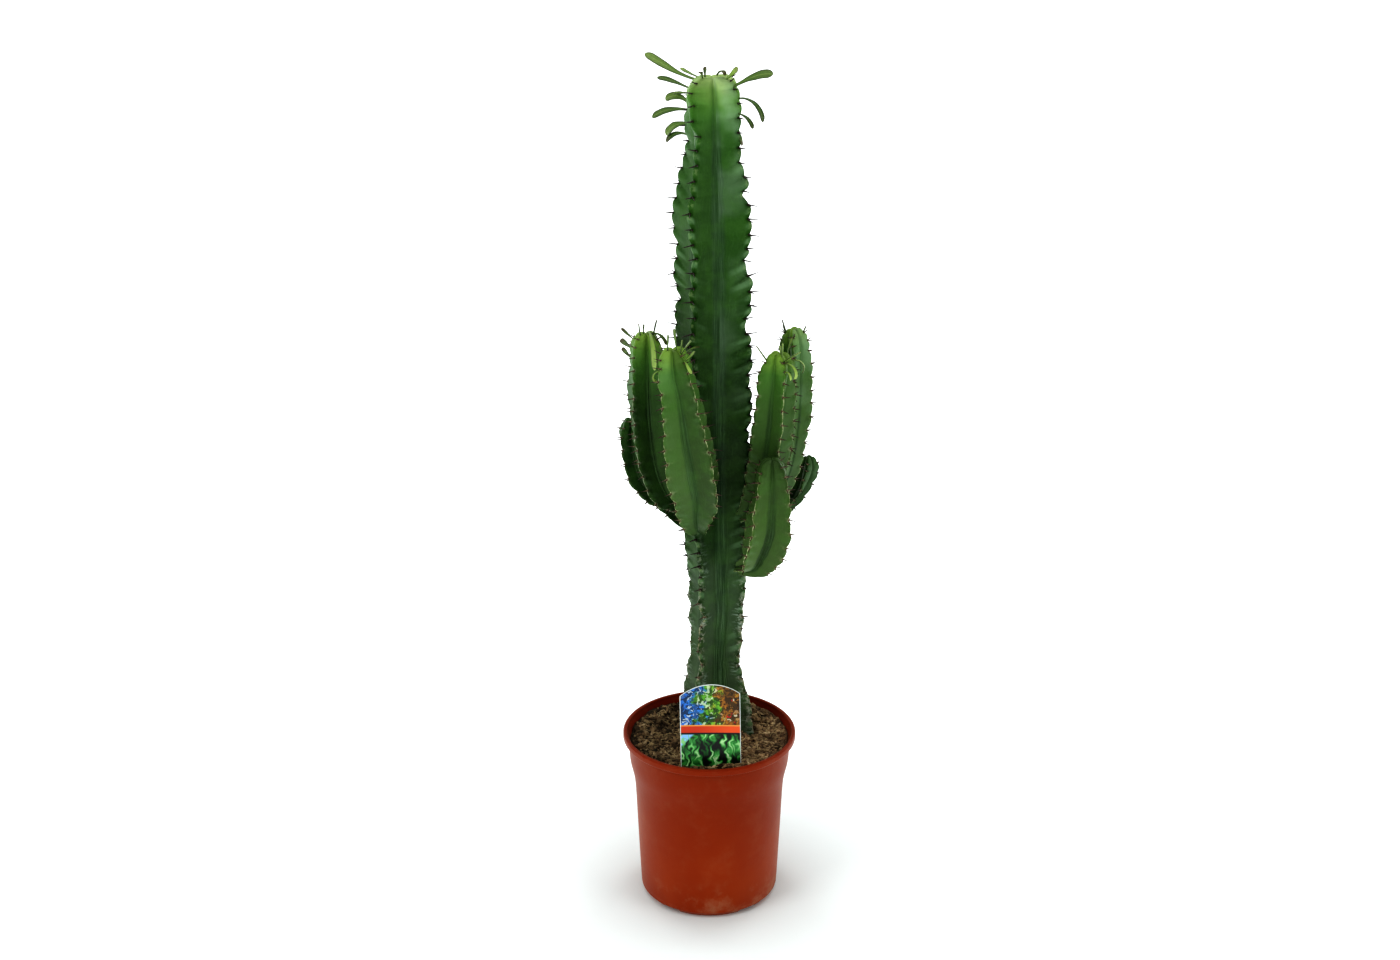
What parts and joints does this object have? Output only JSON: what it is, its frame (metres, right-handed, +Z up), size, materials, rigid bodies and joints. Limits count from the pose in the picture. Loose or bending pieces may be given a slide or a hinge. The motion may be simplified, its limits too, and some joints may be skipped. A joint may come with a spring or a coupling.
{
  "type": "potted euphorbia",
  "caption": "Tall four-ribbed spiny candelabra euphorbia with short upright side branches, standing in potting mix in a round plastic nursery pot with a picture label.",
  "frame": {"origin": "centre of the pot's underside, on the ground", "axes": "+Z up along the pot's axis, -Y the front with the label, +X to the right seen from the front"},
  "size_m": [0.1994, 0.17, 0.8172],
  "materials": {
    "pot_plastic": "satin terracotta-red polypropylene",
    "potting_mix": "loose moist bark and peat mix",
    "label_card": "printed glossy plastic card",
    "main_stem_skin": "waxy dark green succulent skin, yellow-green at the crown",
    "branch_skin": "waxy mid green succulent skin, brighter at the tips"
  },
  "bodies": {
    "root": {"pot": "pot_plastic", "soil": "potting_mix", "plant_label": "label_card", "main_stem": "main_stem_skin", "branch_left_front": "branch_skin", "branch_left_tall": "branch_skin", "branch_left_small": "branch_skin", "branch_right_tall": "branch_skin", "branch_right_back": "branch_skin", "branch_right_low": "branch_skin", "branch_right_small": "branch_skin"}
  },
  "joints": []
}
